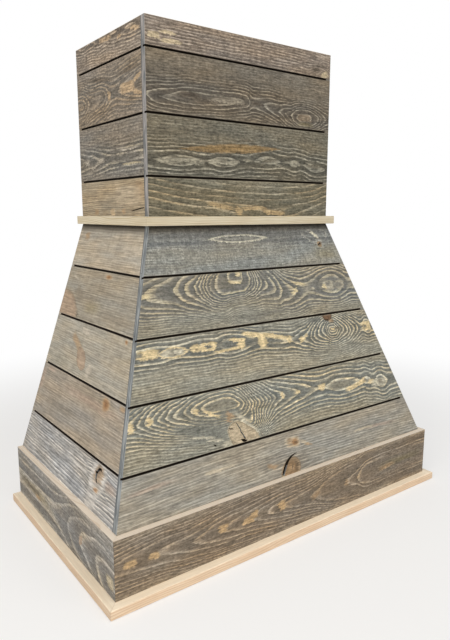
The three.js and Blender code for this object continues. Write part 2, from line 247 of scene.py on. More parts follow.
def growth_rings(add, spot, inward, grain):
    """The number of the growth ring at a spot of a flat-sawn board, and how far the spot is above or below the heart
    line. spine gives the heart line's height and depth its distance behind the face, both in mm along the board. Where
    the heart comes near the face the rings close into eyes, and where it sinks they run straight."""
    far = [u for u, _ in grain["spine"] + grain["depth"]]
    first, last = min(far), max(far)
    low = min(v for _, v in grain["spine"]) - 1
    high = max(v for _, v in grain["spine"]) + 1
    split = add("SeparateXYZ", spot)
    along = add("MapRange", split.outputs["X"], first, last, 0.0, 1.0)
    spine = [((u - first) / (last - first), (v - low) / (high - low)) for u, v in grain["spine"]]
    spine = add("MapRange", add("FloatCurve", 1.0, along, points=spine), 0.0, 1.0, low, high)
    depth = [((u - first) / (last - first), d / DEEPEST) for u, d in grain["depth"]]
    depth = add("Math.MULTIPLY_ADD", add("FloatCurve", 1.0, along, points=depth), DEEPEST, inward)
    rise = add("Math.SUBTRACT", split.outputs["Y"], spine)
    above = add("Math.MULTIPLY", rise, grain.get("above", 1.0))
    rise = add("Math.MAXIMUM", above, add("Math.MULTIPLY", rise, -1.0))
    power = grain.get("power", 1.7)
    reach = add("Math.ADD", add("Math.POWER", rise, power), add("Math.POWER", depth, power))
    reach = add("Math.POWER", reach, 1 / power)
    for lift in grain.get("lift", ()):  # a swelling of the trunk
        reach = add("Math.ADD", reach, swelling(add, spot, *lift)[1])
    if "rings" not in grain:
        return add("Math.DIVIDE", reach, grain["ring"]), rise
    most, years = grain["rings"][-1]
    years = years + 2
    curve = [(r / most, (n + 2) / years) for r, n in grain["rings"]]
    count = add("FloatCurve", 1.0, add("Math.DIVIDE", reach, most), points=curve)
    return add("Math.MULTIPLY", count, float(years)), rise


def marked(add, colour, spot, frayed, tones, marks):
    """The colour with a board's marks laid on it in their order: knots have clean rims, and all others frayed ones."""
    for kind, u, v, ru, rv, *angle in marks:
        hard = "knot" in kind or kind == "blush"
        tilt = (0, 0, math.radians(angle[0] if angle else 0))
        near = add("Mapping", spot if hard else frayed, (u, v, 0), tilt, (ru, rv, THROUGH))
        if kind in POINTED:
            near = add("SeparateXYZ", add("VectorMath.ABSOLUTE", near)).outputs
            size = add("Math.MULTIPLY_ADD", near["X"], near["X"], near["Y"])
        elif hard:
            size = add("VectorMath.LENGTH", near).outputs["Value"]
        else:  # blunter than an ellipse
            size = add("VectorMath.LENGTH", add("VectorMath.MULTIPLY", near, near)).outputs["Value"]
            size = add("Math.POWER", size, 0.5)
        stops = [
            (at, linear(tones[tone] if isinstance(tone, int) else tone, cover)) for at, tone, cover in MARKS[kind]
        ]
        ring = add("ValToRGB", size, stops=stops)
        colour = add("Mix", ring.outputs["Alpha"], colour, ring)
    return colour


def finish_wood(add, colour, relief, strength, height, sockets):
    """Ends a wood's material: its shader, with the relief of its surface at a strength and a height in m."""
    bump = add("Bump", sockets={"Strength": strength, "Distance": height, "Height": relief})
    add("OutputMaterial", add("BsdfPrincipled", colour, sockets={"Normal": bump, **sockets}))


def stained_pine(name, wall, edges, tones, grain, marks, bold, fine, fuzz, saw, seed):
    """Rough-sawn knotty pine under a thin grey-brown stain, matt. The soft earlywood drinks the stain and turns dark,
    the hard latewood stays pale or honey-coloured, so the growth rings stand out as light lines with ragged edges.
    edges are the heights of the board's foot and head on its wall, bold and fine the strength of its lines near the
    heart and away from it, fuzz that of its torn fibres and saw that of the blade's marks."""
    material, add = new_material(name)
    place, turn = FACES[wall]
    turn = [math.radians(a) for a in turn]
    own = add("TexCoord")
    face = add("Mapping", own.outputs["Object"], place, turn, MM)  # mm on the wall's face
    split = add("SeparateXYZ", face).outputs
    inward = add("Math.MULTIPLY", split["Z"], -1.0)

    # Torn fibres and the grit between them. Real ones are 0.1 mm thick, and these are 4 mm so that they show.
    length = grain.get("fibre", 34)
    fibre = streaks(add, face, (seed * 53.0, 0, 0), (length, 3.6, 3.6), 3.0, 0.6)
    grit = streaks(add, face, (0, seed * 71.0, 0), (length * 0.26, 4.6, 4.6), 3.0, 0.75)
    # The grain sways in waves 20 to 70 mm long, and each bundle of fibres carries its bit of ring a few mm along.
    sway = streaks(add, face, (seed * 311.0, seed * 97.0, 0), (70, 20, 30), 4.0, 0.6).outputs["Color"]
    wave = grain.get("sway", 1.0)
    sway = add("VectorMath.SUBTRACT", sway, (0.5, 0.5, 0.5))
    spot = add("VectorMath.MULTIPLY_ADD", sway, (16 * wave, 7 * wave, 0), face)
    spot = add("VectorMath.ADD", spot, add("CombineXYZ", add("MapRange", fibre, 0.25, 0.75, -2.4, 2.4), 0.0, 0.0))
    knots = None
    for u, v, ru, rv, *pull in grain.get("pinch", ()):  # a knot draws the rings together or parts them
        near, size = swelling(add, spot, u, v, ru, rv, 1.0)
        knots = add("Math.MAXIMUM", size, knots if knots else 0.0)
        shift = add("VectorMath.MULTIPLY", near, (pull[0] * ru, pull[-1] * rv, 0))
        spot = add("VectorMath.ADD", spot, add("VectorMath.SCALE", shift, size))
    count, rise = growth_rings(add, spot, inward, grain)

    # One year's wood: earlywood, darkest at its start, then latewood that comes in slowly and ends sharply.
    start = grain.get("late", 0.56)
    season = add("Math.FRACT", count)
    stops = [(0, 0.6), (0.06, 0.0), (start, 0.0), (0.45 * start + 0.55, 1.0), (1, 1.0)]
    late = add("ValToRGB", season, stops=stops)
    early = add("MapRange", season, 0.05, start, -0.24, 0.08)
    year = add("TexWhiteNoise", add("Math.FLOOR", count), noise_dimensions="1D").outputs["Value"]
    year = add("MapRange", year, 0.0, 1.0, 0.6, 1.15)
    broad = grain["flat"]
    flat = add("MapRange", rise, broad, broad + 30.0, 1.0, 0.0, interpolation_type="SMOOTHSTEP")
    if knots:
        flat = add("Math.ADD", add("Math.MULTIPLY", knots, 1.6), flat, use_clamp=True)
    torn = add("MapRange", fibre, 0.34, 0.5, 0.3, 1.0)
    line = add("Math.MULTIPLY", add("Math.MULTIPLY", late, year), torn)
    clear = add("MapRange", flat, 0.0, 1.0, fine, bold)
    line = add("Math.MULTIPLY", line, clear, use_clamp=True)

    # The stain lies deepest where the saw cut along the rings, and honey-coloured wood shows there too.
    deep, mid, pale, honey = (linear(tone) for tone in tones)
    patch = streaks(add, face, (seed * 19.0, seed * 41.0, 0), (110, 34, 60), 2.0, 0.5)
    soak = add("Math.ADD", add("MapRange", patch, 0.35, 0.65, -0.35, 0.35), flat, use_clamp=True)
    warm = add("Math.MULTIPLY", flat, add("MapRange", patch, 0.42, 0.6, 0.05, 0.7))
    colour = add("Mix", line, add("Mix", soak, mid, deep), add("Mix", warm, pale, honey))
    early = add("Math.MULTIPLY_ADD", early, clear, 1.0)
    colour = add("Mix", 1.0, colour, early, blend_type="MULTIPLY")
    hue = streaks(add, face, (seed * 37.0, seed * 5.0, 0), (260, 60, 60), 2.0, 0.6)
    hue = add("MapRange", hue, 0.38, 0.62)
    hue = add("Mix", hue, (0.94, 0.99, 1.06, 1), (1.05, 1.01, 0.95, 1))  # cool and warm tints of the stain
    colour = add("Mix", 1.0, colour, hue, blend_type="MULTIPLY")

    fray = add("MapRange", fibre, 0.3, 0.7, -4.0, 4.0), add("MapRange", grit, 0.3, 0.7, -2.0, 2.0)
    frayed = add("VectorMath.ADD", spot, add("CombineXYZ", *fray))
    colour = marked(add, colour, spot, frayed, tones, marks)

    # Light and dark fibres, broad bands along the board, and the blade's chatter across it every 9 mm or so.
    shade = add("MapRange", fibre, 0.3, 0.65, 1 - 0.3 * fuzz, 1 + 0.25 * fuzz)
    shade = add("Math.MULTIPLY", shade, add("MapRange", grit, 0.28, 0.66, 1 - 0.45 * fuzz, 1 + 0.32 * fuzz))
    bands = streaks(add, face, (seed * 7.0, seed * 29.0, 0), (420, 13, 60), 3.0, 0.6)
    shade = add("Math.MULTIPLY", shade, add("MapRange", bands, 0.3, 0.7, 0.88, 1.12))
    chatter = streaks(add, face, (seed * 13.0, 0, 0), (9, grain.get("tick", 260), 260), 2.0, 0.6)
    shade = add("Math.MULTIPLY", shade, add("MapRange", chatter, 0.3, 0.7, 1 - 0.09 * saw, 1 + 0.09 * saw))
    colour = add("Mix", 1.0, colour, shade, blend_type="MULTIPLY")

    # The arrises along the grooves are rubbed pale, and that pale line is partly a painted highlight. The grooves carry
    # painted shade, dark at their edges, and all that lies more than 0.35 mm under the face is painted near black as
    # shade.
    foot = add("Math.SUBTRACT", split["Y"], edges[0] + HALF_GROOVE if edges[0] else NO_GROOVE[0])
    high = NO_GROOVE[1] if edges[1] in [heights[-1] for heights in GROOVES.values()] else edges[1] - HALF_GROOVE
    arris = add("Math.MINIMUM", foot, add("Math.SUBTRACT", high, split["Y"]))
    # rubbed pale, and also a painted highlight where the eased arris would catch the light
    worn_and_highlight = add("MapRange", arris, 0.9, 3.2, 0.4, 0.0)
    colour = add("Mix", add("Math.MULTIPLY", worn_and_highlight, torn), colour, pale)
    # painted shade along the edges of the grooves
    colour = add("Mix", add("MapRange", arris, 0.5, 1.0, 0.85, 0.0), colour, linear("#2c2115"))
    # painted shade: near black in grooves, checks and other recesses below the face
    colour = add("Mix", add("MapRange", inward, 0.35, 1.3), colour, linear("#20170d"))

    # Backs and sawn top edges are bare, and end grain takes the stain blue-grey.
    bare = add("Math.GREATER_THAN", inward, THICKNESS)
    if wall.startswith("apron") or edges[1] == GROOVES["chimney"][-1]:
        bare = add("Math.MAXIMUM", bare, add("Math.GREATER_THAN", split["Y"], edges[1] - 0.5))
    raw = add("Mix", add("Math.MULTIPLY", late, 0.5), linear("#e0d3c2"), linear("#c9b399"))
    colour = add("Mix", bare, colour, raw)
    across = (1, 0, 0) if wall.endswith("front") else (0, 1, 0)
    facing = add("VectorMath.DOT_PRODUCT", own.outputs["Normal"], across).outputs["Value"]
    if not grain.get("plug"):  # only a plug's outer end is end grain, and its inner one keeps the groove's painted shade
        facing = add("Math.ABSOLUTE", facing)
    end = add("MapRange", facing, 0.75, 0.85)
    streak = add("MapRange", streaks(add, face, None, (60, 46, 3.2), 3.0, 0.6), 0.4, 0.6)
    blue = add("Mix", streak, linear("#666b6e"), linear("#9fa3a4" if wall.startswith("body") else "#aaa5a2"))
    joint = add("MapRange", inward, 12.0, 15.0, 0.0, 0.6)  # the shadow where the side wall's boards meet it
    blue = add("Mix", joint, blue, linear("#4a4c4d"))
    colour = add("Mix", end, colour, blue)

    relief = add("Math.MULTIPLY_ADD", grit, 0.5, add("Math.MULTIPLY_ADD", line, 0.5, fibre))
    finish_wood(add, colour, relief, 0.4, 0.0006, {"Roughness": 0.8, "IOR": 1.45, "Specular IOR Level": 0.3})
    return material


# ---- the stained boards, each with its own figure
# tones: stain in the earlywood along the heart line, stain elsewhere, latewood, latewood along the heart line.
# grain and marks: mm on the wall's face, U along the boards from the middle of the cover, V up from the wall's foot.
# A mark is its kind, U, V, half its length and height, and the degrees that it's turned by.
# A grain's spine is V, and its depth the distance behind the face, of the heart line at each U. Within flat of that
# line the rings are bold. A year is ring thick, or rings counts the years at distances from the heart. A power of 2
# makes round eyes and a lower one pointed eyes, and above scales the distances above the heart line. pinch and lift
# have places as marks do, then the shares by which they draw the rings aside, or the mm that the trunk swells. late is
# where in a year the latewood starts, sway scales the waves, and fibre and tick are the length of the fibres and the
# height of the blade's marks.

HEART = {  # the figure that each board was sawn with
    "chimney_1": {
        "spine": [(-262, 28), (-170, 14), (-60, 4), (70, 0), (160, 4), (262, 26)], "depth": [(-262, 1), (262, 1)],
        "power": 2, "rings": [(0, -1), (13, 0), (32, 1), (46, 2), (59, 3), (72, 4), (87, 5), (100, 6), (112, 7)],
        "lift": [(70, 22, 200, 32, 17)], "flat": 70, "sway": 0.7, "late": 0.72,
    },
    "chimney_2": {
        "spine": [(-262, 134), (-180, 135), (-70, 137), (20, 144), (75, 147), (140, 144), (170, 143), (220, 134),
                  (262, 134)],
        "depth": [(-262, 27), (-238, 26), (-180, 22), (-122, 26), (-112, 26), (-70, 22), (-25, 26), (0, 27.5),
                  (18, 26), (60, 23.2), (98, 26), (120, 26.5), (145, 24), (168, 26), (215, 23.6), (250, 26),
                  (262, 27)],
        "rings": [(0, 0), (26, 4), (33, 5), (39, 6), (46, 7), (120, 21)], "flat": 22, "late": 0.6,
    },
    "chimney_3": {
        "spine": [(-262, 262), (-235, 259), (-160, 263), (-60, 267), (-5, 271), (40, 270), (95, 261), (175, 252),
                  (262, 257)],
        "depth": [(-262, 35), (-238, 30), (-215, 28.5), (-196, 27), (-160, 24), (-110, 25), (-60, 26.5), (-25, 28.3),
                  (-4, 30), (20, 36), (42, 34.5), (62, 32), (78, 30.5), (96, 28.5), (115, 23.5), (131, 20), (150, 10),
                  (175, 2), (201, 10), (225, 20), (245, 28), (262, 31)],
        "rings": [(0, -0.6), (10, 1), (20, 2), (24, 3), (29, 4), (34, 5), (39, 6), (95, 18)], "flat": 24,
        "late": 0.66,
    },
    "chimney_4": {
        "spine": [(-262, 330), (0, 332), (150, 330), (262, 318)], "depth": [(-262, 14), (262, 14)], "ring": 6.0,
        "power": 1.6, "lift": [(236, 362, 55, 32, -22)], "flat": 6,
    },
    "body_1": {
        "spine": [(-450, -74), (0, -62), (450, -76)], "depth": [(-450, 30), (450, 30)], "ring": 5.5, "power": 1.8,
        "pinch": [(-12, 12, 120, 60, -0.45), (8, 65, 40, 30, -0.5)], "flat": 6, "fibre": 90,
    },
    "body_2": {
        "spine": [(-420, 178), (-383, 181), (-320, 184), (-217, 184), (-165, 184), (-118, 178), (-60, 172), (8, 173),
                  (55, 172), (130, 168), (200, 165), (270, 162), (340, 150), (400, 148)],
        "depth": [(-420, 62), (-383, 59), (-357, 54), (-340, 49), (-322, 44), (-303, 39), (-287, 34), (-268, 30),
                  (-255, 26), (-238, 19), (-220, 14), (-165, 3), (-120, 14), (-111, 19), (-104, 24), (-97, 29),
                  (-90, 34), (-82, 39), (-74, 44), (-62, 49), (-50, 54), (-38, 59), (-24, 64), (8, 69), (55, 74),
                  (128, 79), (190, 75.5), (240, 77), (270, 79), (290, 77), (312, 79), (340, 75), (368, 79),
                  (400, 80)],
        "rings": [(0, 0), (14, 1), (79, 14), (144, 27)], "power": 1.6, "pinch": [(-78, 102, 66, 62, 1.25)],
        "above": 0.95, "flat": 30, "sway": 0.7,
    },
    "body_3": {
        "spine": [(-380, 308), (-250, 309), (-120, 308), (-20, 303), (60, 294), (100, 292), (150, 297), (205, 303),
                  (270, 297), (340, 296)],
        "depth": [(-380, 47), (-345, 46), (-295, 44.8), (-255, 46.5), (-217, 45), (-185, 43.6), (-152, 45),
                  (-120, 42), (-76, 45), (-60, 47.5), (-25, 49.5), (5, 48.6), (45, 49), (60, 49.6), (75, 48.5),
                  (95, 45), (122, 40.5), (133, 36), (145, 31.5), (157, 27), (168, 22.5), (180, 18), (190, 9),
                  (205, 1), (219, 9), (232, 18), (243, 22.5), (254, 27), (263, 31.5), (272, 36), (285, 40.5),
                  (297, 45), (312, 48), (330, 44), (345, 46)],
        "rings": [(0, 0), (45, 8), (100, 20)], "power": 1.7, "flat": 18, "sway": 0.45,
        "pinch": [(205, 303, 120, 52, 0, -0.24)],
    },
    "body_4": {
        "spine": [(-335, 426), (-230, 434), (-125, 437), (-57, 457), (-20, 447), (25, 431), (65, 416), (107, 407),
                  (150, 412), (240, 417), (340, 412)],
        "depth": [(-335, 80), (-300, 76), (-230, 70), (-203, 64), (-178, 59.5), (-165, 56), (-155, 52), (-147, 48),
                  (-138, 43), (-125, 38), (-90, 18), (-57, 2), (-44, 16), (-33, 29), (-24, 38), (-17, 43), (-10, 48),
                  (-3, 52), (8, 56), (25, 59.5), (48, 64), (66, 70), (107, 76), (145, 79), (175, 77.5), (205, 74),
                  (240, 72), (275, 75.5), (300, 79), (340, 79)],
        "rings": [(0, 0), (15, 1), (38, 2), (43, 3), (48, 4), (52, 5), (56, 6), (59.5, 7), (64, 8), (70, 9), (76, 10),
                  (110, 20), (170, 36)],
        "power": 2.0, "flat": 34, "sway": 0.8,
    },
    "body_5": {
        "spine": [(-300, 545), (0, 543), (300, 545)], "depth": [(-300, 40), (300, 40)], "ring": 4.5, "flat": 4,
        "fibre": 15, "tick": 36,
    },
    "left_1": {
        "spine": [(-276, 5), (-150, 0), (60, 8)], "depth": [(-276, 10), (60, 22)], "ring": 4.6, "power": 1.8,
        "flat": 100, "fibre": 120, "sway": 0.5,
    },
    "left_2": {
        "spine": [(-290, 148), (-150, 145), (60, 146)],
        "depth": [(-290, 18), (-262, 22), (-231, 26), (-190, 30), (-150, 35), (-110, 39), (-20, 40), (60, 40)],
        "rings": [(0, 0), (26, 3), (35, 4), (43, 5), (120, 19)], "power": 1.5, "flat": 14, "late": 0.54,
    },
    "left_3": {
        "spine": [(-290, 276), (-215, 276), (-150, 280), (-100, 282), (-52, 283), (60, 284)],
        "depth": [(-290, 4), (-258, 3), (-243, 9), (-228, 18), (-210, 27), (-180, 31), (-140, 35), (-118, 41),
                  (-98, 46), (-75, 47), (-52, 45), (-20, 41), (15, 37), (60, 31)],
        "rings": [(0, -0.5), (9, 0), (18, 1), (27, 2), (35, 3), (41, 4), (46, 5), (51, 6), (57, 7), (100, 14)],
        "power": 1.7, "flat": 40, "late": 0.56,
    },
    "left_4": {
        "spine": [(-276, 415), (-120, 408), (-60, 402), (60, 396)],
        "depth": [(-276, 24), (-235, 20), (-190, 24), (-150, 19), (-115, 23), (-85, 19.5), (-60, 20), (-40, 21),
                  (0, 19), (35, 20.5), (60, 21)],
        "ring": 5.0, "power": 1.8, "flat": 14,
    },
    "apron_front": {
        "spine": [(-460, 62), (-370, 64), (-290, 58), (-200, 60), (-100, 60), (35, 56), (150, 56), (190, 58),
                  (300, 60), (460, 60)],
        "depth": [(-460, 88), (-375, 84), (-290, 80), (-225, 75), (-150, 71), (-98, 67), (-60, 64), (35, 58.6),
                  (100, 45.8), (150, 36.8), (188, 29.6), (240, 6), (300, 2), (460, 2)],
        "rings": [(0, -1), (2, 0), (29.6, 1), (36.8, 2), (58.6, 3), (64, 4), (67, 5), (71, 6), (75, 7), (80, 8),
                  (84, 9), (90, 10), (92.8, 11), (96, 12), (99.8, 13), (104, 14), (130, 21)],
        "flat": 40, "late": 0.66, "sway": 1.2,
    },
    "apron_left": {
        "spine": [(-280, 48), (38, 50), (97, 50), (150, 43), (175, 39), (205, 31), (235, 25), (280, 20)],
        "depth": [(-280, 88), (-100, 88), (-50, 87), (0, 83.7), (38, 76), (60, 69.7), (100, 59.5), (150, 48),
                  (175, 37), (200, 24), (235, 8), (280, 2)],
        "rings": [(0, -0.5), (8, 0), (37, 1), (60, 2), (76, 3), (90, 4), (100, 5), (108, 6), (116, 7), (150, 12)],
        "power": 2.0, "flat": 45, "late": 0.7, "sway": 1.3,
    },
}


def straight(v, depth, ring, tilt=0.0, pinch=()):
    """The figure of a board sawn far from the heart, whose rings are nearly straight lines."""
    ends = [(-460, v - 460 * tilt), (0, v), (460, v + 460 * tilt)]
    depth = [(-460, depth), (460, depth)]
    return {"spine": ends, "depth": depth, "ring": ring, "power": 1.8, "pinch": pinch, "flat": 0, "fibre": 120}


def moved(heart, du, dv):
    """The same figure in another place, because boards from one log look alike."""
    copy = dict(heart)
    for key in ("spine", "depth"):
        copy[key] = [(u + du, v + (dv if key == "spine" else 0)) for u, v in heart[key]]
    for key in ("pinch", "lift"):
        copy[key] = [(u + du, v + dv, *rest) for u, v, *rest in heart.get(key, ())]
    return copy


